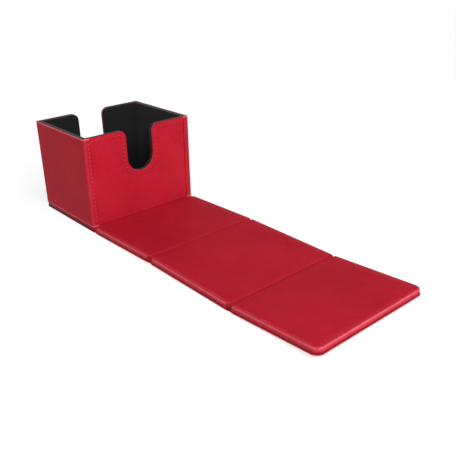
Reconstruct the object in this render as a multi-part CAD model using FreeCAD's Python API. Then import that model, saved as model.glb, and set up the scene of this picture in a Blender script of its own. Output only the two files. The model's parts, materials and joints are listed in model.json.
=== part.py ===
import FreeCAD, Part
import math
import os

os.makedirs("parts", exist_ok=True)

# Card deck box with a three-panel wrap-around cover, lying open.
# Millimetres. +Z is up. The origin is on the underside of the base, under the middle of the box.
# The cover leaves the box along -Y: front flap, top flap, back flap.

# Driving dimensions
box_width = 102.0        # along X, outside
box_depth = 79.6         # along Y, outside
box_height = 77.5        # rim above the table
base_thickness = 4.0
base_width = 102.4

skin = 0.8               # leatherette on the walls
wall_board = 2.5         # greyboard in the walls
lining = 1.5             # foam-backed lining
rim_cap = 0.8            # lining where it is turned over the wall's top edge
floor_board = 2.0
floor_lining = 1.2
corner_return = 5.5      # how far a side wall's leatherette wraps onto the front and back
corner_radius = 1.2      # the wrapped vertical corners

notch_half_width = 12.4  # thumb notch, a U with a half-round bottom
notch_bottom = 41.2      # height of its lowest point
notch_corner = 6.0       # rounding where it meets the rim

cover_width = 102.8
cover_thickness = 5.0
cover_skin = 0.75        # leatherette on the cover
cover_board = 2.3        # greyboard under the cover's foam
edge_round = 2.4         # roll of the padded edges
crease_corner = 3.0      # panel corners in plan, at a crease
end_corner = 5.5         # panel corners in plan, at the free end
base_corner = 2.4        # the base's corners in plan, behind the box
crease_gap = 0.35        # from a fold's axis to a panel's edge
fold_height = 3.5        # fold axis above a panel's outer face
fold_ahead = 2.4         # first fold, ahead of the box's front face

front_flap_length = 76.3  # fold to fold
top_flap_length = 87.2    # fold to fold
back_flap_length = 74.0   # fold to free end
front_flap_rise = 1.09    # the open cover isn't quite flat: degrees up from the table
back_flap_rise = 2.94

strip_thickness = 0.6    # bonded leatherette strip inside each crease
strip_reach = 2.8        # into each panel

thread_width = 0.6
thread_depth = 0.3
rim_seam = 3.0           # stitching below the rim
cover_seam = 3.6         # stitching in from the cover's edges
corner_seam = 4.2        # upright stitching on the front and back, in from the corners
corner_seam_end = 3.0    # where it stops short of the wall's top and bottom
seam_end = 3.2           # where a flap's stitching stops short of its folds

magnet_radius = 5.0
magnet_thickness = 1.2
magnet_spacing = 60.0
magnet_height = 14.0     # on the back wall

# Values that follow from them
half_width = box_width / 2
half_depth = box_depth / 2
board_face = skin                              # depth of the board's outer face in the wall
lining_face = skin + wall_board                # depth of the lining's back
wall = skin + wall_board + lining
floor_top = base_thickness + floor_board + floor_lining
lining_foot = base_thickness + floor_board
first_fold_y = -half_depth - fold_ahead
top_flap_fall = math.degrees(
    math.asin(front_flap_length * math.sin(math.radians(front_flap_rise)) / top_flap_length))


def block(x_range, y_range, z_range):
    """A box from its ranges along X, Y and Z."""
    corner = FreeCAD.Vector(x_range[0], y_range[0], z_range[0])
    size = [high - low for low, high in (x_range, y_range, z_range)]
    return Part.makeBox(*size, corner)


def line(start, end):
    return Part.makeLine(start, end)


def arc(start, middle, end):
    return Part.Arc(start, middle, end).toShape()


def save(name, *solids):
    """Write one named piece, which may be a group of separate solids."""
    shape = solids[0] if len(solids) == 1 else Part.makeCompound(list(solids))
    shape.exportStep("parts/" + name + ".step")


def notched_wall(half, z_low, inset, y_range):
    """A wall with its thumb notch. Its rim and notch are set in by inset."""
    top = box_height - inset
    notch = notch_half_width + inset
    centre = notch_bottom + notch_half_width
    bend = notch_corner - inset
    y = y_range[0]
    slant = bend * math.sqrt(0.5)

    def at(x, z):
        return FreeCAD.Vector(x, y, z)

    edges = [
        line(at(-half, z_low), at(half, z_low)),
        line(at(half, z_low), at(half, top)),
        line(at(half, top), at(notch + bend, top)),
        arc(at(notch + bend, top), at(notch + bend - slant, top - bend + slant), at(notch, top - bend)),
        line(at(notch, top - bend), at(notch, centre)),
        arc(at(notch, centre), at(0, centre - notch), at(-notch, centre)),
        line(at(-notch, centre), at(-notch, top - bend)),
        arc(at(-notch, top - bend), at(slant - notch - bend, top - bend + slant),
            at(-notch - bend, top)),
        line(at(-notch - bend, top), at(-half, top)),
        line(at(-half, top), at(-half, z_low)),
    ]
    face = Part.Face(Part.Wire(edges))
    return face.extrude(FreeCAD.Vector(0, y_range[1] - y_range[0], 0))


def rim_thread(half, y_range):
    """A seam that follows the rim and the notch, as a ribbon."""
    outer = notched_wall(half, base_thickness, rim_seam - thread_width / 2, y_range)
    inner = notched_wall(half, base_thickness, rim_seam + thread_width / 2, y_range)
    return outer.cut(inner)


def corner_threads(side):
    """The upright seams that hold a side wall's leatherette to the front and the back, as ribbons."""
    centre = side * (half_width - corner_seam)
    x_range = (centre - thread_width / 2, centre + thread_width / 2)
    z_range = (base_thickness + corner_seam_end, box_height - corner_seam_end)
    return [block(x_range, y_range, z_range)
            for y_range in ((-half_depth, thread_depth - half_depth),
                            (half_depth - thread_depth, half_depth))]


def plan(half, near, far, near_corner, far_corner, z_range):
    """A rounded oblong in plan, from y = -near to y = -far, given its height."""
    def at(x, y):
        return FreeCAD.Vector(x, y, z_range[0])

    def corner(side, y, into, radius):
        """The corner at x = side * half, running from the end face to the long side."""
        cut = radius * (1 - math.sqrt(0.5))
        return arc(at(side * (half - radius), y), at(side * (half - cut), y + into * cut),
                   at(side * half, y + into * radius))

    edges = [
        line(at(-half + near_corner, -near), at(half - near_corner, -near)),
        corner(1, -near, -1, near_corner),
        line(at(half, -near - near_corner), at(half, -far + far_corner)),
        corner(1, -far, 1, far_corner),
        line(at(half - far_corner, -far), at(-half + far_corner, -far)),
        corner(-1, -far, 1, far_corner),
        line(at(-half, -far + far_corner), at(-half, -near - near_corner)),
        corner(-1, -near, -1, near_corner),
    ]
    wire = Part.Wire(Part.__sortEdges__(edges))
    return Part.Face(wire).extrude(FreeCAD.Vector(0, 0, z_range[1] - z_range[0]))


def padded_slab(half, near, far, corners, z_range, roll):
    """An oblong slab whose long, near and far edges are rolled over."""
    slab = plan(half, near, far, corners[0], corners[1], z_range)
    rims = [edge for edge in slab.Edges if edge.BoundBox.ZLength < 0.001]
    return slab.makeFillet(roll, rims)


def discs(x_centres, y, z, direction):
    axis = FreeCAD.Vector(*direction)
    return [Part.makeCylinder(magnet_radius, magnet_thickness, FreeCAD.Vector(x, y, z), axis)
            for x in x_centres]


def cut_all(shape, tools):
    for tool in tools:
        shape = shape.cut(tool)
    return shape


def box_walls():
    """Greyboard, leatherette, lining and stitching of the four walls."""
    inner_half = half_width - wall
    board_half = half_width - lining_face
    outer_board = half_width - board_face
    board_top = box_height - rim_cap
    magnet_x = (-magnet_spacing / 2, magnet_spacing / 2)
    front_half = half_width - corner_return
    magnets = discs(magnet_x, half_depth - board_face - magnet_thickness, magnet_height, (0, 1, 0))
    save("back_wall_magnets", *magnets)

    for name, side in (("front", -1), ("back", 1)):
        def depth_range(near, far):
            """Y range between two depths below this wall's outer face."""
            return sorted((side * (half_depth - near), side * (half_depth - far)))

        board = notched_wall(board_half, base_thickness, rim_cap, depth_range(board_face, lining_face))
        turned = notched_wall(board_half, lining_foot, 0, depth_range(board_face, lining_face))
        layer = notched_wall(inner_half, lining_foot, 0, depth_range(lining_face, wall))
        seam = rim_thread(front_half, depth_range(0, thread_depth))
        cover = notched_wall(front_half, base_thickness, 0, depth_range(0, skin))
        save(name + "_lining", layer.fuse(turned.cut(board)).removeSplitter())
        save(name + "_wall_board", cut_all(board, magnets if side > 0 else []))
        save(name + "_wall_skin", cover.cut(seam))
        save(name + "_rim_thread", *seam.Solids)

    for name, side in (("left", -1), ("right", 1)):
        def width_range(near, far):
            """X range between two depths below this wall's outer face."""
            return sorted((side * (half_width - near), side * (half_width - far)))

        full = (-half_depth + board_face, half_depth - board_face)
        between = (-half_depth + lining_face, half_depth - lining_face)
        board_x = width_range(board_face, lining_face)
        save(name + "_wall_board", block(board_x, full, (base_thickness, board_top)))
        layer = block(width_range(lining_face, wall), between, (lining_foot, box_height))
        turned = block(board_x, full, (board_top, box_height))
        save(name + "_lining", layer.fuse(turned).removeSplitter())
        wrap = block(width_range(0, corner_return), (-half_depth, half_depth),
                     (base_thickness, box_height))
        corners = [edge for edge in wrap.Edges
                   if edge.BoundBox.ZLength > 1 and abs(abs(edge.Vertexes[0].X) - half_width) < 0.001]
        wrap = wrap.makeFillet(corner_radius, corners)
        inside = block((-outer_board, outer_board), full, (base_thickness, box_height))
        seams = corner_threads(side)
        save(name + "_corner_thread", *seams)
        save(name + "_wall_skin", cut_all(wrap.cut(inside), seams))


def box_floor():
    board_x = (lining_face - half_width, half_width - lining_face)
    board_y = (lining_face - half_depth, half_depth - lining_face)
    inner_x = (wall - half_width, half_width - wall)
    inner_y = (wall - half_depth, half_depth - wall)
    save("floor_board", block(board_x, board_y, (base_thickness, lining_foot)))
    save("floor_lining", block(inner_x, inner_y, (lining_foot, floor_top)))


def base_panel(strip):
    """The base under the box, which the cover is hinged to."""
    near = -half_depth
    far = -(first_fold_y + crease_gap)
    corners = (base_corner, crease_corner)
    roll = base_thickness / 2 - 0.1
    slab = padded_slab(base_width / 2, near, far, corners, (0, base_thickness), roll)
    core = padded_slab(base_width / 2 - cover_skin, near + cover_skin, far - cover_skin,
                       [radius - cover_skin for radius in corners],
                       (cover_skin, base_thickness - cover_skin), roll - cover_skin)
    reach = block((-base_width, base_width), (-box_depth, box_depth), (0, base_thickness / 2))
    shell = slab.cut(core).cut(strip)
    save("base_outer_skin", shell.common(reach))
    save("base_inner_skin", shell.cut(reach))
    save("base_board", core.cut(strip))


def flap_seam(length, free, z_range):
    """The stitching along a flap's long edges, and round its free end if it has one."""
    def oblong(inset):
        far = length - inset if free else length - seam_end
        radius = end_corner - inset if free else 0.01
        return plan(cover_width / 2 - inset, seam_end, far, 0.01, max(radius, 0.6), z_range)

    if free:
        band = oblong(cover_seam - thread_width / 2).cut(oblong(cover_seam + thread_width / 2))
        near = block((-cover_width, cover_width), (-seam_end - thread_width, 0), z_range)
        return band.cut(near).Solids
    centre = cover_width / 2 - cover_seam
    return [block((x - thread_width / 2, x + thread_width / 2), (seam_end - length, -seam_end), z_range)
            for x in (-centre, centre)]


def flap(name, length, free, placement, strips):
    """One padded cover panel, made lying flat with its fold along the X axis, then put in place."""
    near = crease_gap
    far = length if free else length - crease_gap
    corners = (crease_corner, end_corner if free else crease_corner)
    low = -fold_height
    high = low + cover_thickness
    half = cover_width / 2
    slab = padded_slab(half, near, far, corners, (low, high), edge_round)
    core = padded_slab(half - cover_skin, near + cover_skin, far - cover_skin,
                       [radius - cover_skin for radius in corners],
                       (low + cover_skin, high - cover_skin), edge_round - cover_skin)
    lower = block((-cover_width, cover_width), (-2 * length, length), (low, low + cover_thickness / 2))
    board_zone = block((-cover_width, cover_width), (-2 * length, length),
                       (low, low + cover_skin + cover_board))
    top_seam = flap_seam(length, free, (high - thread_depth, high))
    low_seam = flap_seam(length, free, (low, low + thread_depth))

    pieces = {
        "inner_skin": cut_all(slab.cut(core).cut(lower), top_seam),
        "outer_skin": cut_all(slab.cut(core).common(lower), low_seam),
        "board": core.common(board_zone),
        "foam": core.cut(board_zone),
    }
    if free:
        closed_fold_height = fold_height + front_flap_length
        reach = closed_fold_height - magnet_height
        magnet_z = low + cover_skin + cover_board - magnet_thickness
        magnets = discs((-magnet_spacing / 2, magnet_spacing / 2), -reach, magnet_z, (0, 0, 1))
        pieces["board"] = cut_all(pieces["board"], magnets)
        save(name + "_magnets", *[magnet.transformed(placement.toMatrix()) for magnet in magnets])
    for piece, shape in pieces.items():
        shape = shape.transformed(placement.toMatrix())
        save(name + "_" + piece, cut_all(shape, strips))
    seams = [seam.transformed(placement.toMatrix()) for seam in top_seam + low_seam]
    save(name + "_thread", *seams)


def hinge_strip(placement, half):
    """A strip of bonded leatherette through a crease, centred on its fold."""
    edge = strip_thickness / 2
    strip = block((-half, half), (-strip_reach, strip_reach), (-edge, edge))
    return strip.transformed(placement.toMatrix())


def fold_frames():
    """Where each flap lies: its fold's place, and its slope off the table."""
    y = first_fold_y
    z = fold_height
    frames = []
    lengths = (front_flap_length, top_flap_length, back_flap_length)
    rises = (front_flap_rise, -top_flap_fall, back_flap_rise)
    for length, rise in zip(lengths, rises):
        turn = FreeCAD.Rotation(FreeCAD.Vector(1, 0, 0), -rise)
        frames.append(FreeCAD.Placement(FreeCAD.Vector(0, y, z), turn))
        y -= length * math.cos(math.radians(rise))
        z += length * math.sin(math.radians(rise))
    return frames


box_walls()
box_floor()

frames = fold_frames()
level = FreeCAD.Placement(frames[0].Base, FreeCAD.Rotation())
strip_half = cover_width / 2 - crease_corner
strips = [hinge_strip(level, strip_half), hinge_strip(frames[0].multiply(
    FreeCAD.Placement(FreeCAD.Vector(0, -front_flap_length, 0), FreeCAD.Rotation())), strip_half),
    hinge_strip(frames[1].multiply(
        FreeCAD.Placement(FreeCAD.Vector(0, -top_flap_length, 0), FreeCAD.Rotation())), strip_half)]

names = ("front_flap", "top_flap", "back_flap")
lengths = (front_flap_length, top_flap_length, back_flap_length)
base_panel(strips[0])
for index, name in enumerate(names):
    flap(name, lengths[index], name == "back_flap", frames[index], strips[index:index + 2])
for name, strip in zip(("front_hinge_strip", "top_hinge_strip", "back_hinge_strip"), strips):
    save(name, strip)

for name, frame in zip(names, frames):
    print(name, "fold at y", round(frame.Base.y, 3), "z", round(frame.Base.z, 3))
print("top flap fall", round(top_flap_fall, 3))
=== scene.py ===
import json
import math

import bmesh
import bpy
from mathutils import Matrix, Vector, noise


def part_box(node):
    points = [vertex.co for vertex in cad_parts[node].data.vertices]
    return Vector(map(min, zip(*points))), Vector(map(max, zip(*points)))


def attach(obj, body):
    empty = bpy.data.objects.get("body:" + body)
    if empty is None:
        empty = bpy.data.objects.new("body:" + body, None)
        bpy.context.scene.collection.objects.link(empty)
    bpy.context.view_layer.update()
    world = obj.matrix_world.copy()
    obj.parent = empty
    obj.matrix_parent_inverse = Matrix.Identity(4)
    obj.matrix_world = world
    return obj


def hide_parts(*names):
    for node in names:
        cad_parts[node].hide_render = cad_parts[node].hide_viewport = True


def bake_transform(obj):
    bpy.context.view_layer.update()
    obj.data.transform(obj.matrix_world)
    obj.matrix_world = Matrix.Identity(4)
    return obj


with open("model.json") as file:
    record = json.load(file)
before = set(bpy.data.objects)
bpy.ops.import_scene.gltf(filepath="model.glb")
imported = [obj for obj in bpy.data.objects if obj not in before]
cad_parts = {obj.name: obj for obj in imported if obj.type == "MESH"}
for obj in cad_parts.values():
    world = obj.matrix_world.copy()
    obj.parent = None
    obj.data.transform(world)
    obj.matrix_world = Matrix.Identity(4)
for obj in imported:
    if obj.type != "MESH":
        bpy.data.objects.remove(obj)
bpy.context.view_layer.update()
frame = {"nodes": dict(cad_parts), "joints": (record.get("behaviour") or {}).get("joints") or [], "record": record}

MM = 0.001
scene = bpy.context.scene
scene.view_settings.view_transform = "Standard"

# ---------------------------------------------------------------- places, from the frame

wall_low, wall_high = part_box("left_wall_skin")
half_width = -wall_low.x
half_depth = wall_high.y
wall_foot = wall_low.z
rim = wall_high.z
panel_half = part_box("front_wall_skin")[1].x      # front leather, between the two corner wraps
lining_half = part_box("front_lining")[1].x
inner_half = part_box("floor_lining")[1].x
inner_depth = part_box("floor_lining")[1].y
floor_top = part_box("floor_lining")[1].z
lining_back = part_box("front_lining")[1].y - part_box("front_lining")[0].y
cover_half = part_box("front_flap_outer_skin")[1].x
base_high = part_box("base_outer_skin")[1]
base_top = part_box("base_inner_skin")[1].z

folds = {joint["name"]: Vector(joint["pos_m"]) for joint in frame["joints"]}
front_fold = folds["front_flap_fold"]
top_fold = folds["top_flap_fold"]
back_fold = folds["back_flap_fold"]

# ---------------------------------------------------------------- sizes of the visible shapes

skin = 0.8 * MM
notch_half = 12.4 * MM
notch_bottom = 41.2 * MM
notch_corner = 6.0 * MM
wrap_radius = 1.5 * MM
rim_seam = 3.0 * MM
corner_seam = 4.2 * MM
cover_seam = 3.6 * MM
stitch_pitch = 3.4 * MM
stitch_length = 2.5 * MM
stitch_width = 0.68 * MM
cover_stitch_width = 0.5 * MM

cover_low = -3.5 * MM          # the cover's faces, from a fold's axis
cover_high = 1.5 * MM
cover_sheet = 0.85 * MM        # the outer leather, a sheet whose cut edge shows
crease_gap = 0.35 * MM
crease_reach = 2.6 * MM        # how far the crease's outer leather goes under each flap
back_flap_length = 74.0 * MM
back_flap_rise = 2.94          # degrees
end_corner = 5.5 * MM
base_corner = 2.4 * MM
crease_corner = 1.8 * MM
inner_sheet = 0.6 * MM         # the sheet that the flaps' and the base's inner leather is made of
lining_sheet = 0.6 * MM
corner_seam_end = 3 * MM       # where the upright stitching stops short of the wall's ends
flap_seam_start = 4.2 * MM     # where a flap's stitching stops short of its folds
studio_radius = 12.0
studio_height = 2.6


# ---------------------------------------------------------------- shader maths

class Tint:
    """A value or colour inside a finish, which can be added to, multiplied and mixed."""

    def __init__(self, finish, socket):
        self.finish = finish
        self.socket = socket

    def maths(self, operation, first, second):
        return self.finish.node("ShaderNodeMath", {"operation": operation}, {0: first, 1: second})

    def __add__(self, other):
        return self.maths("ADD", self, other)

    def __radd__(self, other):
        return self.maths("ADD", other, self)

    def __sub__(self, other):
        return self.maths("SUBTRACT", self, other)

    def __rsub__(self, other):
        return self.maths("SUBTRACT", other, self)

    def __mul__(self, other):
        return self.maths("MULTIPLY", self, other)

    def __rmul__(self, other):
        return self.maths("MULTIPLY", other, self)

    def between(self, low, high):
        """0 at low and below, 1 at high and above."""
        settings = {"interpolation_type": "SMOOTHSTEP"}
        return self.finish.node("ShaderNodeMapRange", settings, {0: self, 1: low, 2: high})


class Finish:
    """A material, built node by node round one Principled shader."""

    def __init__(self, name, **constants):
        self.material = bpy.data.materials.new(name)
        self.material.use_nodes = True
        self.tree = self.material.node_tree
        self.shader = self.tree.nodes["Principled BSDF"]
        for socket, value in constants.items():
            self.shader.inputs[socket.replace("_", " ")].default_value = value
        self.place = self.node("ShaderNodeTexCoord", {}, {}, "Object")

    def node(self, kind, settings, inputs, output=0):
        """Adds a node. Settings are set first, then its sockets get values or links."""
        made = self.tree.nodes.new(kind)
        for name, value in settings.items():
            setattr(made, name, value)
        for name, value in inputs.items():
            if isinstance(value, Tint):
                self.tree.links.new(value.socket, made.inputs[name])
            else:
                made.inputs[name].default_value = value
        return Tint(self, made.outputs[output])

    def noise(self, scale, detail=3.0, roughness=0.55):
        inputs = {"Vector": self.place, "Scale": scale, "Detail": detail, "Roughness": roughness}
        return self.node("ShaderNodeTexNoise", {}, inputs, "Fac")

    def cells(self, scale, feature="F1", randomness=1.0):
        inputs = {"Vector": self.place, "Scale": scale, "Randomness": randomness}
        return self.node("ShaderNodeTexVoronoi", {"feature": feature}, inputs, "Distance")

    def attribute(self, name):
        return self.node("ShaderNodeAttribute", {"attribute_name": name}, {}, "Fac")

    def mix(self, factor, first, second):
        """A colour between two colours."""
        inputs = {"Factor": factor, 6: first, 7: second}
        return self.node("ShaderNodeMix", {"data_type": "RGBA"}, inputs, 2)

    def bump(self, height, distance, strength=1.0):
        inputs = {"Height": height, "Distance": distance, "Strength": strength}
        return self.node("ShaderNodeBump", {}, inputs, "Normal")

    def finish(self, **links):
        for socket, value in links.items():
            self.tree.links.new(value.socket, self.shader.inputs[socket.replace("_", " ")])
        return self.material


def colour(red, green, blue):
    return (red, green, blue, 1.0)


def leatherette():
    """Smooth red coated leatherette: fine pebble grain, faint cloudiness, edges paler from wear and painted
    highlight, and painted shade in folds.
    """
    f = Finish("red_leatherette", Specular_IOR_Level=0.05)
    cloud = f.noise(22.0, 3.0)
    fine = f.noise(260.0, 2.0)
    pebble = f.cells(1150.0, "SMOOTH_F1")
    creases = f.cells(620.0, "DISTANCE_TO_EDGE").between(0.0, 0.12)
    pores = f.noise(3200.0, 2.0)
    body = f.mix(cloud.between(0.3, 0.75), colour(0.30, 0.006, 0.015), colour(0.35, 0.009, 0.019))
    mottled = f.mix(fine.between(0.35, 0.8) * 0.35, body, colour(0.38, 0.012, 0.024))
    tone = f.attribute("wear_and_painted_light")
    # painted shade: darker red where the stored tone is below 0, on the slopes of the flaps' folds
    fold_painted_shade = f.mix(tone * -1.0, mottled, colour(0.12, 0.003, 0.007))
    # paler pink where the stored tone is above 0: partly edge wear, partly painted highlight on rounded edges
    worn_and_highlit = tone * (0.75 + 0.25 * fine.between(0.3, 0.7))
    base = f.mix(worn_and_highlit * 0.55, fold_painted_shade, colour(0.60, 0.12, 0.15))
    roughness = 0.52 + cloud * 0.08 + pores * 0.05
    height = pebble * -0.5 + creases * 0.22 + pores * 0.28
    return f.finish(Base_Color=base, Roughness=roughness, Normal=f.bump(height, 0.05 * MM, 0.45))


def cut_edge():
    """The cut edge of the leatherette: coating over a pale woven backing."""
    f = Finish("leatherette_cut_edge", Specular_IOR_Level=0.3)
    fibre = f.noise(1800.0, 3.0)
    along = f.noise(160.0, 2.0)
    base = f.mix(fibre.between(0.35, 0.7), colour(0.36, 0.03, 0.04), colour(0.55, 0.14, 0.15))
    shade = f.mix(along.between(0.4, 0.8) * 0.5, base, colour(0.25, 0.015, 0.022))
    return f.finish(Base_Color=shade, Roughness=0.6 + fibre * 0.2, Normal=f.bump(fibre, 0.06 * MM, 0.6))


def base_edge_painted_shade():
    """The base's edge, a dark maroon: painted shade standing in for the shadow under the walls."""
    f = Finish("base_edge_painted_shade", Specular_IOR_Level=0.1)
    cloud = f.noise(120.0, 2.0)
    base = f.mix(cloud.between(0.3, 0.7), colour(0.09, 0.003, 0.009), colour(0.14, 0.005, 0.013))
    return f.finish(Base_Color=base, Roughness=0.5 + cloud * 0.15, Normal=f.bump(cloud, 0.1 * MM, 0.5))


def microfibre():
    """Charcoal suede-like lining: short nap brushed into faint lighter and darker patches, and paler at the rim
    from rubbed nap and painted highlight.
    """
    f = Finish("charcoal_microfibre", Sheen_Weight=0.12, Sheen_Roughness=0.45, Specular_IOR_Level=0.15)
    nap = f.noise(2600.0, 4.0, 0.7)
    brushed = f.noise(45.0, 3.0)
    lint = f.cells(900.0).between(0.10, 0.03) * f.noise(70.0).between(0.62, 0.72)
    pile = f.mix(nap.between(0.25, 0.8), colour(0.004, 0.004, 0.0042), colour(0.010, 0.0096, 0.0096))
    patched = f.mix(brushed.between(0.35, 0.7) * 0.5, pile, colour(0.0075, 0.0075, 0.0078))
    linted = f.mix(lint * 0.5, patched, colour(0.04, 0.04, 0.04))
    # paler grey where the stored tone is above 0, at the rim: partly rubbed nap, partly painted highlight
    base = f.mix(f.attribute("wear_and_painted_light") * nap.between(0.2, 0.6), linted, colour(0.085, 0.08, 0.072))
    return f.finish(Base_Color=base, Roughness=0.88 + nap * 0.1, Normal=f.bump(nap, 0.12 * MM, 0.7))


def sewing_thread():
    """Red polyester thread: slightly paler than the leatherette, with a fine twist."""
    f = Finish("red_thread", Sheen_Weight=0.08, Sheen_Roughness=0.35, Specular_IOR_Level=0.15)
    twist = f.cells(3800.0)
    shade = f.noise(500.0, 2.0)
    base = f.mix(shade.between(0.3, 0.7), colour(0.38, 0.018, 0.029), colour(0.48, 0.034, 0.047))
    return f.finish(Base_Color=base, Roughness=0.45 + twist * 0.25, Normal=f.bump(twist, 0.06 * MM, 0.8))


def needle_hole_shade():
    """A dark disc at each needle hole: painted shade of the hole's recess."""
    f = Finish("needle_hole_shade", Specular_IOR_Level=0.1, Roughness=0.8)
    shade = f.noise(900.0, 2.0)
    return f.finish(Base_Color=f.mix(shade, colour(0.06, 0.002, 0.005), colour(0.11, 0.004, 0.009)))


def greyboard():
    f = Finish("greyboard", Specular_IOR_Level=0.2)
    fibre = f.noise(900.0, 4.0, 0.7)
    fleck = f.cells(420.0).between(0.12, 0.04)
    base = f.mix(fibre.between(0.3, 0.7), colour(0.26, 0.24, 0.21), colour(0.38, 0.355, 0.315))
    flecked = f.mix(fleck * 0.6, base, colour(0.14, 0.12, 0.10))
    return f.finish(Base_Color=flecked, Roughness=0.85 + fibre * 0.1,
                    Normal=f.bump(fibre, 0.05 * MM, 0.5))


def cover_foam():
    f = Finish("cover_foam", Specular_IOR_Level=0.2)
    pores = f.cells(1500.0)
    base = f.mix(pores.between(0.1, 0.6), colour(0.55, 0.53, 0.46), colour(0.78, 0.76, 0.69))
    return f.finish(Base_Color=base, Roughness=0.85 + pores * 0.1, Normal=f.bump(pores, 0.2 * MM, 0.8))


def nickel_plate():
    f = Finish("nickel_plate", Metallic=1.0)
    brushed = f.noise(700.0, 3.0)
    base = f.mix(brushed.between(0.3, 0.7), colour(0.50, 0.49, 0.46), colour(0.66, 0.65, 0.61))
    return f.finish(Base_Color=base, Roughness=0.22 + brushed * 0.15,
                    Normal=f.bump(brushed, 0.01 * MM, 0.4))


leather = leatherette()
leather_edge = cut_edge()
base_edge_shade = base_edge_painted_shade()
suede = microfibre()
thread = sewing_thread()
hole_shade = needle_hole_shade()


# ---------------------------------------------------------------- making pieces

def finish_piece(name, bm, body, materials, stands_for=(), thickness=0.0, smooth_under=40.0):
    """Turns a bmesh into a named piece that rides on a body and stands for its CAD nodes."""
    bmesh.ops.remove_doubles(bm, verts=bm.verts, dist=0.001 * MM)
    bmesh.ops.recalc_face_normals(bm, faces=bm.faces)
    mesh = bpy.data.meshes.new(name)
    bm.to_mesh(mesh)
    bm.free()
    for material in materials:
        mesh.materials.append(material)
    mesh.shade_smooth()
    mesh.set_sharp_from_angle(angle=math.radians(smooth_under))
    piece = bpy.data.objects.new(name, mesh)
    scene.collection.objects.link(piece)
    if thickness:
        sheet = piece.modifiers.new("thickness", "SOLIDIFY")
        sheet.thickness = thickness
        sheet.offset = -1.0
    if body:
        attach(piece, body)
    if stands_for:
        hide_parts(*stands_for)
    return piece


def bevel(bm, edges, radius, segments):
    return bmesh.ops.bevel(bm, geom=edges, offset=radius, offset_type="OFFSET", segments=segments,
                           profile=0.5, affect="EDGES", material=-1, clamp_overlap=True)


def inset(bm, faces, width, depth=0.0):
    """Insets a region of faces, keeping the middle in the same face or faces."""
    bmesh.ops.inset_region(bm, faces=faces, thickness=width, depth=depth, use_boundary=True,
                           use_even_offset=True)


def steps(first, last, step):
    return [first + step * index for index in range(math.ceil((last - first) / step))]


def slices(bm, axis, places):
    """Cuts the whole mesh across one axis at each place, so that it can follow soft shapes."""
    normal = Vector((0, 0, 0))
    normal[axis] = 1
    for place in places:
        geometry = list(bm.verts) + list(bm.edges) + list(bm.faces)
        bmesh.ops.bisect_plane(bm, geom=geometry, dist=0.01 * MM, plane_co=normal * place,
                               plane_no=normal)


def solid_block(x_range, y_range, z_range):
    bm = bmesh.new()
    bmesh.ops.create_cube(bm, size=1)
    ranges = (x_range, y_range, z_range)
    size = [high - low for low, high in ranges]
    centre = [(high + low) / 2 for low, high in ranges]
    bmesh.ops.scale(bm, verts=bm.verts, vec=size)
    bmesh.ops.translate(bm, verts=bm.verts, vec=centre)
    return bm


def store_wear_and_painted_light(bm, amount):
    """Stores a tone for each point: above 0 paler, partly edge wear and partly painted highlight on rounded edges,
    over 1 on a rim edge; below 0, to -1, painted shade in a fold.
    """
    layer = bm.verts.layers.float.new("wear_and_painted_light")
    for vert in bm.verts:
        vert[layer] = amount(vert.co)


def ripple(place, size, seed):
    """Smooth unevenness between -1 and 1 at about that size."""
    return noise.noise(place / size + Vector((seed, seed * 1.7, seed * 0.6)))


# ---------------------------------------------------------------- the notched walls

def notched_face(bm, half, foot, top, y, inset_by=0.0):
    """The outline of a wall with its thumb notch, filled. Its arcs are spun from their ends."""
    notch = notch_half + inset_by
    bend = notch_corner - inset_by
    centre = notch_bottom + notch_half
    across = Vector((0, 1, 0))

    def go(vert, x, z):
        made = bmesh.ops.extrude_vert_indiv(bm, verts=[vert])["verts"][0]
        made.co = (x, y, z)
        return made

    def swing(vert, x, z, turn, steps):
        made = bmesh.ops.spin(bm, geom=[vert], cent=(x, y, z), axis=across, angle=math.radians(turn),
                              steps=steps)
        return [item for item in made["geom_last"] if isinstance(item, bmesh.types.BMVert)][0]

    start = bm.verts.new((-half, y, foot))
    end = go(start, -half, top)
    end = go(end, -notch - bend, top)
    end = swing(end, -notch - bend, top - bend, 90, 8)
    end = go(end, -notch, centre)
    end = swing(end, 0, centre, -180, 24)
    end = go(end, notch, top - bend)
    end = swing(end, notch + bend, top - bend, 90, 8)
    end = go(end, half, top)
    end = go(end, half, foot)
    bm.edges.new((end, start))
    bmesh.ops.remove_doubles(bm, verts=bm.verts, dist=0.001 * MM)
    return bmesh.ops.contextual_create(bm, geom=bm.edges)["faces"][0]


def beside_rim(place, half, foot, margin):
    """True for a point that is well away from a wall's sides and foot."""
    return abs(place.x) < half - margin and place.z > foot + margin


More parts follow.
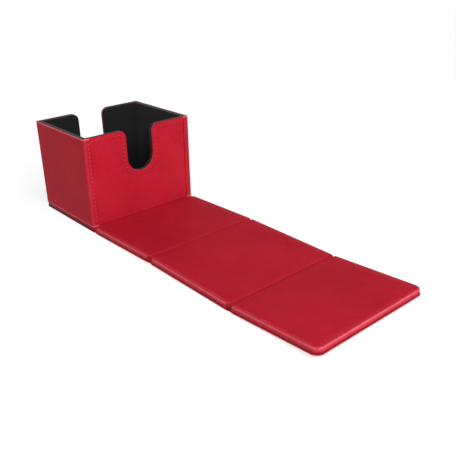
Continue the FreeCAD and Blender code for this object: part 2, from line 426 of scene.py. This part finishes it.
def wall_leather(name, side):
    """Leather on the front or back wall, sewn down below the rim and round the notch."""
    bm = bmesh.new()
    outer = side * half_depth
    face = notched_face(bm, panel_half - 0.05 * MM, wall_foot, rim, outer)
    made = bmesh.ops.extrude_face_region(bm, geom=[face], use_keep_orig=True)
    inner = [item for item in made["geom"] if isinstance(item, bmesh.types.BMVert)]
    bmesh.ops.translate(bm, verts=inner, vec=(0, -side * skin, 0))
    roll = 0.55 * MM
    border = list(face.edges)
    bevel(bm, border, roll, 3)
    front = [f for f in bm.faces
             if abs(f.normal.y) > 0.999 and abs(f.calc_center_median().y - outer) < 1e-6]
    inset(bm, front, 0.4 * MM)
    middle = {vert for f in front for vert in f.verts}
    rolled = {tuple(v.co) for v in bm.verts if v not in middle and abs(v.co.x) < panel_half - 1 * MM}
    inset(bm, front, rim_seam - roll - 1.2 * MM)
    inset(bm, front, 0.7 * MM)
    groove = {vert for f in front for vert in f.verts}
    inset(bm, front, 0.7 * MM)
    for vert in groove:
        if beside_rim(vert.co, panel_half, wall_foot, 1.2 * rim_seam):
            vert.co.y -= side * 0.28 * MM
    slices(bm, 0, steps(-panel_half + 4 * MM, panel_half, 4.5 * MM))
    slices(bm, 2, steps(wall_foot + 5 * MM, rim - 4 * MM, 4.5 * MM))
    for vert in bm.verts:
        if abs(vert.co.y - outer) < 0.35 * MM:
            edge = min(panel_half - abs(vert.co.x), vert.co.z - wall_foot)
            soft = 0.10 * ripple(vert.co, 26 * MM, 3 + side) + 0.03 * ripple(vert.co, 9 * MM, 5)
            vert.co.y += side * (soft - 0.08) * min(1.0, edge / (8 * MM)) * MM
    # the rolled rim and notch edge gets a paler tone: partly wear, partly painted highlight
    store_wear_and_painted_light(bm, lambda place: 1.3 if tuple(place) in rolled else 0.0)
    return finish_piece(name + "_wall_leather", bm, "card_box", [leather],
                        [name + "_wall_skin"])


def corner_wrap(name, side):
    """A side wall's leather, which wraps round both corners onto the front and the back."""
    bm = bmesh.new()
    dip = 0.22 * MM
    seam = half_width - corner_seam
    flat_y = half_depth
    run = [(panel_half + 0.05 * MM, -flat_y), (seam - 0.6 * MM, -flat_y), (seam, dip - flat_y),
           (seam + 0.6 * MM, -flat_y), (half_width - wrap_radius, -flat_y)]
    vert = bm.verts.new((side * run[0][0], run[0][1], wall_foot))
    for x, y in run[1:]:
        vert = bmesh.ops.extrude_vert_indiv(bm, verts=[vert])["verts"][0]
        vert.co = (side * x, y, wall_foot)
    centre = (side * (half_width - wrap_radius), wrap_radius - flat_y, 0)
    turned = bmesh.ops.spin(bm, geom=[vert], cent=centre, axis=(0, 0, 1),
                            angle=math.radians(90 * side), steps=6)["geom_last"]
    vert = [item for item in turned if isinstance(item, bmesh.types.BMVert)][0]
    vert = bmesh.ops.extrude_vert_indiv(bm, verts=[vert])["verts"][0]
    vert.co = (side * half_width, 0, wall_foot)
    bmesh.ops.mirror(bm, geom=list(bm.verts) + list(bm.edges), axis="Y", merge_dist=0.001 * MM)
    up = bmesh.ops.extrude_edge_only(bm, edges=list(bm.edges))["geom"]
    bmesh.ops.translate(bm, verts=[v for v in up if isinstance(v, bmesh.types.BMVert)],
                        vec=(0, 0, rim - wall_foot))
    bmesh.ops.recalc_face_normals(bm, faces=bm.faces)
    if sum(f.normal.x * side for f in bm.faces) < 0:
        bmesh.ops.reverse_faces(bm, faces=bm.faces)
    bmesh.ops.solidify(bm, geom=list(bm.faces), thickness=skin)
    bmesh.ops.recalc_face_normals(bm, faces=bm.faces)

    def outside(v):
        on_side = abs(abs(v.co.x) - half_width) < wrap_radius
        on_front = abs(abs(v.co.y) - half_depth) < 0.3 * MM and abs(v.co.x) < half_width - wrap_radius
        return on_side and outer_wrap(v.co) or on_front

    def outer_wrap(place):
        x = abs(place.x) - (half_width - wrap_radius)
        y = abs(place.y) - (half_depth - wrap_radius)
        if x > 0 and y > 0:
            return math.hypot(x, y) > wrap_radius - 0.1 * MM
        return abs(abs(place.x) - half_width) < 0.01 * MM or abs(abs(place.y) - half_depth) < 0.3 * MM

    top = [e for e in bm.edges if all(v.co.z > rim - 0.01 * MM and outside(v) for v in e.verts)]
    bevel(bm, top, 0.45 * MM, 3)
    slices(bm, 2, [rim - 0.8 * MM, rim - 1.2 * MM])
    slices(bm, 2, steps(wall_foot + 2 * MM, rim - 1.5 * MM, 4.5 * MM))
    slices(bm, 1, steps(-half_depth + 4 * MM, half_depth - 3 * MM, 5 * MM))
    for v in bm.verts:
        if abs(abs(v.co.x) - half_width) < 0.02 * MM:
            middle = min(1.0, (half_depth - abs(v.co.y)) / (9 * MM), (v.co.z - wall_foot) / (9 * MM))
            v.co.x += side * middle * MM * (0.12 * ripple(v.co, 30 * MM, 9 + side) - 0.1)

    # paler tone on the rim and foot edges and faintly on the rounded corners: partly wear, partly painted
    # highlight
    def edge_tone(place):
        if place.z > rim - 0.9 * MM or place.z < wall_foot + 0.1 * MM:
            return 1.4
        if abs(place.y) < half_depth - wrap_radius:
            return 0.0
        return 0.12 if abs(place.x) > half_width - wrap_radius else 0.0

    store_wear_and_painted_light(bm, edge_tone)
    return finish_piece(name + "_wall_leather", bm, "card_box", [leather],
                        [name + "_wall_skin"])


def rim_wear_and_highlight(bm, across):
    """The lining is paler where it turns over the rim, towards the inside: partly rubbed nap, partly painted
    highlight.
    """
    def tone(place):
        return 0.3 if place.z > rim - 1.2 * MM and 0.3 * MM < across(place) < 2.2 * MM else 0.0

    store_wear_and_painted_light(bm, tone)


def notched_lining(name, side):
    """Lining on the front or back wall, turned over the rim and round the notch."""
    bm = bmesh.new()
    inner = side * inner_depth
    depth = lining_back
    face = notched_face(bm, lining_half, floor_top - 1.0 * MM, rim, inner)
    made = bmesh.ops.extrude_face_region(bm, geom=[face], use_keep_orig=True)
    far = [item for item in made["geom"] if isinstance(item, bmesh.types.BMVert)]
    bmesh.ops.translate(bm, verts=far, vec=(0, side * depth, 0))
    foot = floor_top

    def on_rim(edge, y):
        return all(abs(v.co.y - y) < 1e-6 for v in edge.verts) and \
            not all(abs(abs(v.co.x) - lining_half) < 1e-6 for v in edge.verts) and \
            any(v.co.z > foot for v in edge.verts) and \
            all(v.co.z > foot - 0.5 * MM for v in edge.verts)

    bevel(bm, [e for e in bm.edges if on_rim(e, inner)], 1.5 * MM, 5)
    bevel(bm, [e for e in bm.edges if on_rim(e, inner + side * depth)], 0.9 * MM, 4)
    flat = [f for f in bm.faces
            if abs(f.normal.y) > 0.999 and abs(f.calc_center_median().y - inner) < 1e-5]
    inset(bm, flat, 0.4 * MM)
    slices(bm, 0, steps(-lining_half + 4 * MM, lining_half, 6 * MM))
    slices(bm, 2, steps(foot + 4 * MM, rim - 4 * MM, 6 * MM))
    for v in bm.verts:
        if abs(v.co.y - inner) < 0.01 * MM:
            v.co.y += side * MM * (0.05 + 0.08 * ripple(v.co, 18 * MM, 12 + side))
    rim_wear_and_highlight(bm, lambda place: abs(place.y) - inner_depth)
    back = [f for f in bm.faces if abs(f.calc_center_median().y - inner - side * depth) < 1e-6
            and abs(f.normal.y) > 0.999]
    ends = [f for f in bm.faces
            if abs(f.normal.x) > 0.999 and abs(abs(f.calc_center_median().x) - lining_half) < 1e-6]
    below = [f for f in bm.faces if f.normal.z < -0.999 and f.calc_center_median().z < foot]
    bmesh.ops.delete(bm, geom=list({*back, *ends, *below}), context="FACES")
    return finish_piece(name + "_wall_lining", bm, "card_box", [suede],
                        [name + "_lining"], thickness=lining_sheet)


def side_lining(name, side):
    """Lining on a side wall, turned over its top edge."""
    reach = half_depth - skin
    bm = solid_block(sorted((side * inner_half, side * (inner_half + lining_back))), (-reach, reach),
                     (floor_top - 1.0 * MM, rim))
    inner = side * inner_half
    for edge_x, radius, count in ((inner, 1.5 * MM, 5), (inner + side * lining_back, 0.9 * MM, 4)):
        edges = [e for e in bm.edges
                 if all(v.co.z > rim - 1e-6 and abs(v.co.x - edge_x) < 1e-6 for v in e.verts)]
        bevel(bm, edges, radius, count)
    flat = [f for f in bm.faces
            if abs(f.normal.x) > 0.999 and abs(f.calc_center_median().x - inner) < 1e-5]
    inset(bm, flat, 0.4 * MM)
    slices(bm, 1, steps(-reach + 5 * MM, reach, 6 * MM))
    slices(bm, 2, steps(floor_top + 4 * MM, rim - 4 * MM, 6 * MM))
    for v in bm.verts:
        if abs(v.co.x - inner) < 0.01 * MM:
            v.co.x += side * MM * (0.05 + 0.08 * ripple(v.co, 18 * MM, 20 + side))
    rim_wear_and_highlight(bm, lambda place: abs(place.x) - inner_half)
    hidden = [f for f in bm.faces if abs(f.calc_center_median().x - inner - side * lining_back) < 1e-6
              or (f.normal.z < -0.999 and f.calc_center_median().z < floor_top)
              or abs(abs(f.calc_center_median().y) - reach) < 1e-6]
    bmesh.ops.delete(bm, geom=hidden, context="FACES")
    return finish_piece(name + "_wall_lining", bm, "card_box", [suede],
                        [name + "_lining"], thickness=lining_sheet)


def floor_pad():
    """The lined floor, a thin pad that is slightly full in the middle."""
    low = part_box("floor_lining")[0].z
    gap = 0.1 * MM
    bm = solid_block((gap - inner_half, inner_half - gap), (gap - inner_depth, inner_depth - gap),
                     (low, floor_top))
    bevel(bm, [e for e in bm.edges if all(v.co.z > floor_top - 1e-6 for v in e.verts)], 0.6 * MM, 3)
    slices(bm, 0, steps(-inner_half + 4 * MM, inner_half, 6 * MM))
    slices(bm, 1, steps(-inner_depth + 4 * MM, inner_depth, 6 * MM))
    for v in bm.verts:
        if v.co.z > floor_top - 0.01 * MM:
            edge = min(inner_half - abs(v.co.x), inner_depth - abs(v.co.y))
            v.co.z += MM * (0.25 * min(1.0, edge / (12 * MM)) + 0.05 * ripple(v.co, 15 * MM, 31))
    piece = finish_piece("floor_lining_pad", bm, "card_box", [suede],
                         ["floor_lining"])
    return piece


# ---------------------------------------------------------------- stitches

def stitch_row(bm, points, normal, width=stitch_width, sunk=0.1 * MM):
    """A rounded stitch at each (place, direction) on a surface, and a dark disc at its end, painted shade of the
    needle hole.
    """
    out = Vector(normal)
    for place, along in points:
        turn = Matrix((along, out.cross(along), out)).transposed().to_4x4()
        size = Matrix.Diagonal((stitch_length / 2, width / 2, width * 0.36, 1.0))
        spot = Matrix.Translation(place - out * sunk)
        bmesh.ops.create_uvsphere(bm, u_segments=8, v_segments=5, radius=1.0, matrix=spot @ turn @ size)
        # a flat dark disc in the hole finish: painted shade of the needle hole
        size = Matrix.Diagonal((width * 0.45, width * 0.5, 0.10 * MM, 1.0))
        spot = Matrix.Translation(place + along * stitch_pitch / 2 - out * 0.02 * MM)
        hole_shadow_disc = bmesh.ops.create_uvsphere(bm, u_segments=6, v_segments=4, radius=1.0,
                                           matrix=spot @ turn @ size)["verts"]
        for face in {face for vert in hole_shadow_disc for face in vert.link_faces}:
            face.material_index = 1


def spaced(path, pitch):
    """Evenly spaced (place, direction) along a list of straight and round stretches."""
    made = []
    total = sum(length for length, _ in path)
    count = round(total / pitch)
    step = total / count
    for index in range(count):
        distance = (index + 0.5) * step
        for length, at in path:
            if distance <= length:
                made.append(at(distance))
                break
            distance -= length
    return made


def straight(start, end):
    start, end = Vector(start), Vector(end)
    length = (end - start).length
    direction = (end - start) / length
    return length, lambda distance: (start + direction * distance, direction)


def bend(centre, radius, begin, turn, u, v):
    """An arc in the plane of u and v, from an angle in degrees through a turn."""
    centre, u, v = Vector(centre), Vector(u), Vector(v)
    length = abs(math.radians(turn)) * radius

    def at(distance):
        angle = math.radians(begin) + math.radians(turn) * distance / length
        way = math.copysign(1, turn)
        place = centre + radius * (u * math.cos(angle) + v * math.sin(angle))
        return place, way * (v * math.cos(angle) - u * math.sin(angle))

    return length, at


def rim_stitches(name, side):
    """The row of stitches below the rim and round the notch."""
    y = side * (half_depth - 0.12 * MM)
    across, up = (1, 0, 0), (0, 0, 1)
    top = rim - rim_seam
    notch = notch_half + rim_seam
    corner = notch_corner - rim_seam
    centre = notch_bottom + notch_half
    reach = panel_half - 1.0 * MM
    path = [
        straight((-reach, y, top), (-notch - corner, y, top)),
        bend((-notch - corner, y, top - corner), corner, 90, -90, across, up),
        straight((-notch, y, top - corner), (-notch, y, centre)),
        bend((0, y, centre), notch, 180, 180, across, up),
        straight((notch, y, centre), (notch, y, top - corner)),
        bend((notch + corner, y, top - corner), corner, 180, -90, across, up),
        straight((notch + corner, y, top), (reach, y, top)),
    ]
    bm = bmesh.new()
    stitch_row(bm, spaced(path, stitch_pitch), (0, side, 0))
    return finish_piece(name + "_rim_stitches", bm, "card_box", [thread, hole_shade],
                        [name + "_rim_thread"])


def corner_stitches(name, side):
    """The upright rows that hold a side wall's leather to the front and the back."""
    bm = bmesh.new()
    x = side * (half_width - corner_seam)
    for face in (-1, 1):
        y = face * (half_depth - 0.1 * MM)
        path = [straight((x, y, wall_foot + corner_seam_end), (x, y, rim - corner_seam_end))]
        stitch_row(bm, spaced(path, stitch_pitch), (0, face, 0))
    return finish_piece(name + "_corner_stitches", bm, "card_box", [thread, hole_shade],
                        [name + "_corner_thread"])


# ---------------------------------------------------------------- the base

def rounded_slab(half, near, far, near_corner, far_corner, z_range):
    """A slab from y = -near to y = -far with rounded corners in plan."""
    bm = solid_block((-half, half), (-far, -near), z_range)
    for y, radius in ((-near, near_corner), (-far, far_corner)):
        upright = [e for e in bm.edges
                   if abs(e.verts[0].co.z - e.verts[1].co.z) > 1e-6 and abs(e.verts[0].co.y - y) < 1e-6]
        bevel(bm, upright, radius, 7)
    return bm


def base_sheet():
    """The leather under the base, a sheet with a cut edge."""
    far = -(front_fold.y + crease_reach)
    bm = rounded_slab(base_high.x, -base_high.y, far, base_corner, 0.3 * MM, (0, cover_sheet))
    edges = [e for e in bm.edges if all(v.co.z < 1e-6 for v in e.verts)]
    bevel(bm, edges, 0.25 * MM, 2)
    # the upright edge faces get the dark painted shade
    for face in bm.faces:
        face.material_index = 1 if abs(face.normal.z) < 0.3 else 0
    return finish_piece("base_outer_leather", bm, "card_box", [leather, base_edge_shade],
                        ["base_outer_skin"])


def base_cover():
    """The leather over the base board, which shows as a low step round the box."""
    far = -(front_fold.y + crease_gap)
    bm = rounded_slab(base_high.x - 0.2 * MM, -base_high.y + 0.2 * MM, far, base_corner, crease_corner,
                      (cover_sheet + 0.05 * MM, base_top))
    bevel(bm, [e for e in bm.edges if all(v.co.z > base_top - 1e-6 for v in e.verts)], 0.7 * MM, 4)
    bottom = [f for f in bm.faces if f.normal.z < -0.999]
    bmesh.ops.delete(bm, geom=bottom, context="FACES")
    # the sides under the walls get the dark painted shade
    for face in bm.faces:
        behind = face.calc_center_median().y > -half_depth
        face.material_index = 1 if behind and face.normal.z < 0.5 else 0
    return finish_piece("base_inner_leather", bm, "card_box", [leather, base_edge_shade],
                        ["base_inner_skin"], thickness=inner_sheet)


# ---------------------------------------------------------------- the padded cover

def flap_place(start, end):
    """Where a flap lies: from its fold towards its next fold or its free end."""
    rise = math.atan2(end.z - start.z, start.y - end.y)
    return Matrix.Translation(start) @ Matrix.Rotation(-rise, 4, "X"), (end - start).length


def seam_inside(place, length, free):
    """How far a point on a flap lies inside the stitching, negative outside it."""
    side = cover_half - cover_seam - abs(place.x)
    if not free:
        return side
    end = length - cover_seam + place.y
    radius = end_corner - cover_seam
    if side < radius and end < radius:
        return radius - math.hypot(radius - side, radius - end)
    return min(side, end)


def flap_top(name, length, place, free, seed):
    """The padded inner face of a flap: leather over foam, sewn down inside its edges."""
    near = crease_gap
    side_in = 0.35 * MM
    far = length - (side_in if free else crease_gap)
    low = cover_low + cover_sheet + 0.05 * MM
    bm = rounded_slab(cover_half - side_in, near, far, crease_corner,
                      end_corner if free else crease_corner, (low, cover_high))
    bevel(bm, [e for e in bm.edges if all(v.co.z > cover_high - 1e-6 for v in e.verts)], 1.2 * MM, 5)
    slices(bm, 0, steps(-cover_half + 1.6 * MM, cover_half - 0.5 * MM, 2.2 * MM))
    slices(bm, 1, steps(-far + 1.4 * MM, -near - 0.8 * MM, stitch_pitch / 2))
    seam_slices(bm, length, free)
    for v in bm.verts:
        x, y, z = v.co
        inside = seam_inside(v.co, length, free)
        ends = min(-y - near, 1.0 if free else far + y)
        if z > cover_high - 0.02 * MM:
            fade = max(0.0, min(1.0, (ends - 2.6 * MM) / (2 * MM)))
            pucker = 0.75 + 0.25 * math.cos(2 * math.pi * y / stitch_pitch)
            dip = math.exp(-(inside / (0.55 * MM)) ** 2) * pucker * fade
            crown = math.sin(math.pi / 2 * max(0.0, min(1.0, inside / (9 * MM))))
            swell = max(0.0, min(1.0, ends / (6 * MM))) ** 0.5
            v.co.z += MM * (0.32 * crown * swell - 0.42 * dip)
            v.co.z += MM * crown * swell * (0.12 * ripple(v.co, 26 * MM, seed)
                                            + 0.03 * ripple(v.co, 8 * MM, seed + 4))
        else:
            bulge = 0.25 * MM * math.sin(math.pi * min(1.0, (z - low) / (2.8 * MM)))
            if abs(x) > cover_half - 1.0 * MM:
                v.co.x += math.copysign(bulge, x)
            if free and y < -far + 1.0 * MM:
                v.co.y -= bulge
        mitre = max(near, v.co.z + 0.18 * MM)
        v.co.y = min(v.co.y, -mitre)
        if not free:
            v.co.y = max(v.co.y, mitre - length)
    bottom = [f for f in bm.faces if f.normal.z < -0.999 and f.calc_center_median().z < low + 1e-6]
    bmesh.ops.delete(bm, geom=bottom, context="FACES")

    def edge_tone(place):
        edge = min(cover_half - abs(place.x), place.y + length if free else 1.0)
        fold = min(-place.y, 1.0 if free else place.y + length)
        # painted shade on the slopes down into a fold
        if fold < 2.2 * MM and place.z < cover_high - 0.15 * MM:
            return -0.45
        # a paler band outside the seam and a paler rolled side edge: partly wear, partly painted highlight
        if place.z > cover_high - 0.1 * MM or edge > 1.7 * MM:
            return 0.22 if edge < cover_seam - 0.5 * MM else 0.0
        return max(0.0, min(1.0, (place.z - cover_high + 1.5 * MM) / (0.7 * MM)))

    store_wear_and_painted_light(bm, edge_tone)
    bmesh.ops.transform(bm, matrix=place, verts=bm.verts)
    piece = finish_piece(name + "_inner_leather", bm, name, [leather],
                         [name + "_inner_skin"], thickness=inner_sheet)
    return piece


def seam_slices(bm, length, free):
    """Cuts a flap along its stitching, so that the leather can be drawn down there."""
    offsets = (-0.7 * MM, 0.0, 0.7 * MM)
    for offset in offsets:
        for side in (-1, 1):
            slices(bm, 0, [side * (cover_half - cover_seam + offset)])
    if free:
        slices(bm, 1, [cover_seam - length + offset for offset in offsets])


def flap_sheet(name, length, place, free, seed):
    """The outer leather of a flap: a sheet whose cut edge shows as a thin lip all round."""
    near = crease_reach
    far = length if free else length - crease_reach
    bm = rounded_slab(cover_half, near, far, 0.3 * MM, end_corner if free else 0.3 * MM,
                      (cover_low, cover_low + cover_sheet))
    bevel(bm, [e for e in bm.edges if all(v.co.z < cover_low + 1e-6 for v in e.verts)], 0.25 * MM, 3)
    slices(bm, 0, steps(-cover_half + 1 * MM, cover_half, 3 * MM))
    slices(bm, 1, steps(-far + 1 * MM, -near, stitch_pitch / 2))
    seam_slices(bm, length, free)
    for v in bm.verts:
        if v.co.z < cover_low + 0.01 * MM:
            inside = seam_inside(v.co, length, free)
            ends = min(-v.co.y - near, 1.0 if free else far + v.co.y)
            fade = max(0.0, min(1.0, ends / (2 * MM)))
            middle = max(0.0, min(1.0, inside / (8 * MM), ends / (8 * MM)))
            v.co.z += MM * (0.24 * math.exp(-(inside / (0.5 * MM)) ** 2) * fade
                            + middle * (0.06 + 0.06 * ripple(v.co, 22 * MM, seed)))
    for face in bm.faces:
        face.material_index = 1 if abs(face.normal.z) < 0.3 else 0
    bmesh.ops.transform(bm, matrix=place, verts=bm.verts)
    return finish_piece(name + "_outer_leather", bm, name, [leather, leather_edge],
                        [name + "_outer_skin"])


def flap_stitches(name, length, place, free):
    """Rows of stitches inside a flap's edges, on both faces."""
    bm = bmesh.new()
    x = cover_half - cover_seam
    for z, out in ((cover_high - 0.38 * MM, 1), (cover_low + 0.22 * MM, -1)):
        if free:
            radius = end_corner - cover_seam
            end = cover_seam - length
            path = [
                straight((-x, -flap_seam_start, z), (-x, end + radius, z)),
                bend((radius - x, end + radius, z), radius, 180, 90, (1, 0, 0), (0, 1, 0)),
                straight((radius - x, end, z), (x - radius, end, z)),
                bend((x - radius, end + radius, z), radius, 270, 90, (1, 0, 0), (0, 1, 0)),
                straight((x, end + radius, z), (x, -flap_seam_start, z)),
            ]
            stitch_row(bm, spaced(path, stitch_pitch), (0, 0, out), cover_stitch_width, 0.02 * MM)
        else:
            for side in (-1, 1):
                path = [straight((side * x, -flap_seam_start, z),
                                 (side * x, flap_seam_start - length, z))]
                stitch_row(bm, spaced(path, stitch_pitch), (0, 0, out), cover_stitch_width, 0.02 * MM)
    bmesh.ops.transform(bm, matrix=place, verts=bm.verts)
    return finish_piece(name + "_stitches", bm, name, [thread, hole_shade], [name + "_thread"])


def ribbon(bm, half, outline):
    """A closed section in y and z, drawn out across the whole width."""
    verts = [bm.verts.new((-half, y, z)) for y, z in outline]
    face = bm.faces.new(verts)
    made = bmesh.ops.extrude_face_region(bm, geom=[face], use_keep_orig=True)["geom"]
    far = [item for item in made if isinstance(item, bmesh.types.BMVert)]
    bmesh.ops.translate(bm, verts=far, vec=(2 * half, 0, 0))


def crease(name, fold, before, after, bodies, node):
    """The bonded leather through a fold: a sheet outside, a web between boards, a valley inside."""
    bm = bmesh.new()
    half = cover_half - 0.5 * MM
    reach = crease_reach + 0.25 * MM
    outer = [(reach * (step / 8 - 1), cover_low + 0.02 * MM) for step in range(17)]
    outer = [(y, z + 0.35 * MM * math.exp(-(y / (0.9 * MM)) ** 2)) for y, z in outer]
    ribbon(bm, half, outer + [(y, z + 0.6 * MM) for y, z in reversed(outer)])
    floor = [(0.62 * MM * (step / 4 - 1), 0.25 * MM * (step / 4 - 1) ** 2) for step in range(9)]
    ribbon(bm, half, floor + [(y, z - 0.35 * MM) for y, z in reversed(floor)])
    ribbon(bm, half, [(-0.2 * MM, cover_low + 0.7 * MM), (0.2 * MM, cover_low + 0.7 * MM),
                      (0.2 * MM, -0.1 * MM), (-0.2 * MM, -0.1 * MM)])
    slices(bm, 0, steps(-half + 4 * MM, half - 1 * MM, 4 * MM))
    for vert in bm.verts:
        if vert.co.z > -0.5 * MM:
            vert.co.z += 0.05 * MM * ripple(Vector((vert.co.x, 0, 0)), 6 * MM, 50)
    tilt = (before + after) / 2
    place = Matrix.Translation(fold) @ Matrix.Rotation(-tilt, 4, "X")
    bmesh.ops.transform(bm, matrix=place, verts=bm.verts)
    piece = finish_piece(name, bm, None, [leather], [node])
    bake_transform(piece)
    return piece


# ---------------------------------------------------------------- the object

for wall, side in (("front", -1), ("back", 1)):
    wall_leather(wall, side)
    notched_lining(wall, side)
    rim_stitches(wall, side)
for wall, side in (("left", -1), ("right", 1)):
    corner_wrap(wall, side)
    side_lining(wall, side)
    corner_stitches(wall, side)
floor_pad()
base_sheet()
base_cover()

back_end = back_fold + back_flap_length * Vector(
    (0, -math.cos(math.radians(back_flap_rise)), math.sin(math.radians(back_flap_rise))))
flaps = (("front_flap", front_fold, top_fold), ("top_flap", top_fold, back_fold),
         ("back_flap", back_fold, back_end))
slopes = [0.0]
for number, (name, start, end) in enumerate(flaps):
    place, length = flap_place(start, end)
    slopes.append(math.atan2(end.z - start.z, start.y - end.y))
    free = name == "back_flap"
    flap_top(name, length, place, free, 60 + 7 * number)
    flap_sheet(name, length, place, free, 61 + 7 * number)
    flap_stitches(name, length, place, free)

chain = ("card_box", "front_flap", "top_flap", "back_flap")
for number, name in enumerate(("front", "top", "back")):
    crease(name + "_crease", (front_fold, top_fold, back_fold)[number], slopes[number],
           slopes[number + 1], chain[number:number + 2], name + "_hinge_strip")

carried_over = {"greyboard": greyboard(), "cover_foam": cover_foam(), "magnet_steel": nickel_plate(),
                "red_leatherette": leather, "red_thread": thread, "charcoal_lining": suede}
slot_of = {entry["node"]: entry["material_slot"] for entry in frame["record"]["subparts"]}
for node, piece in frame["nodes"].items():
    piece.data.materials.clear()
    piece.data.materials.append(carried_over[slot_of[node]])


# ---------------------------------------------------------------- floor, light and camera

def studio():
    """A white floor with a low white wall far round it, and a dim even sky."""
    white = Finish("studio_white", Specular_IOR_Level=0.0, Roughness=1.0, Emission_Strength=0.79)
    white.shader.inputs["Base Color"].default_value = colour(0.25, 0.25, 0.25)
    white.shader.inputs["Emission Color"].default_value = colour(1, 1, 1)
    for name in ("studio_floor", "studio_wall"):
        bm = bmesh.new()
        ring = bmesh.ops.create_circle(bm, cap_ends=name == "studio_floor", segments=96,
                                       radius=studio_radius)
        if name == "studio_wall":
            up = bmesh.ops.extrude_edge_only(bm, edges=list(bm.edges))["geom"]
            raised = [item for item in up if isinstance(item, bmesh.types.BMVert)]
            bmesh.ops.translate(bm, verts=raised, vec=(0, 0, studio_height))
        bmesh.ops.translate(bm, verts=ring["verts"], vec=(0, 0, -0.3 * MM))
        mesh = bpy.data.meshes.new(name)
        bm.to_mesh(mesh)
        bm.free()
        mesh.materials.append(white.material)
        stage = bpy.data.objects.new(name, mesh)
        scene.collection.objects.link(stage)

    world = bpy.data.worlds.new("studio")
    world.use_nodes = True
    world.node_tree.nodes["Background"].inputs["Color"].default_value = colour(1, 1, 1)
    world.node_tree.nodes["Background"].inputs["Strength"].default_value = 0.22
    scene.world = world


def soft_light(name, comes_from, strength, spread):
    """A wide, even, far-off light. It comes from a direction and has a soft edge."""
    lamp = bpy.data.lights.new(name, "SUN")
    lamp.energy = strength
    lamp.angle = math.radians(spread)
    holder = bpy.data.objects.new(name, lamp)
    holder.location = Vector(comes_from)
    holder.rotation_euler = (-Vector(comes_from)).to_track_quat("-Z", "Y").to_euler()
    scene.collection.objects.link(holder)


def softbox(name, place, aim, width, height, watts):
    lamp = bpy.data.lights.new(name, "AREA")
    lamp.shape = "RECTANGLE"
    lamp.size = width
    lamp.size_y = height
    lamp.energy = watts
    holder = bpy.data.objects.new(name, lamp)
    holder.location = place
    holder.rotation_euler = (Vector(aim) - Vector(place)).to_track_quat("-Z", "Y").to_euler()
    scene.collection.objects.link(holder)


def camera():
    view = bpy.data.cameras.new("camera")
    view.sensor_width = 36.0
    view.lens = 50.47
    view.shift_x = 0.0111
    view.shift_y = 0.0083
    view.clip_start = 0.01
    view.clip_end = 50.0
    holder = bpy.data.objects.new("camera", view)
    holder.location = (-0.27798, -0.46737, 0.21616)
    holder.rotation_euler = [math.radians(angle) for angle in (65.189, 1.2425, -41.063)]
    scene.collection.objects.link(holder)
    scene.camera = holder


studio()
soft_light("key_light", (-0.05, -1.0, 0.95), 2.3, 50)
softbox("near_softbox", (-0.16, -0.60, 0.42), (0, -0.04, 0.04), 0.35, 0.25, 3.0)
camera()

bpy.context.view_layer.update()
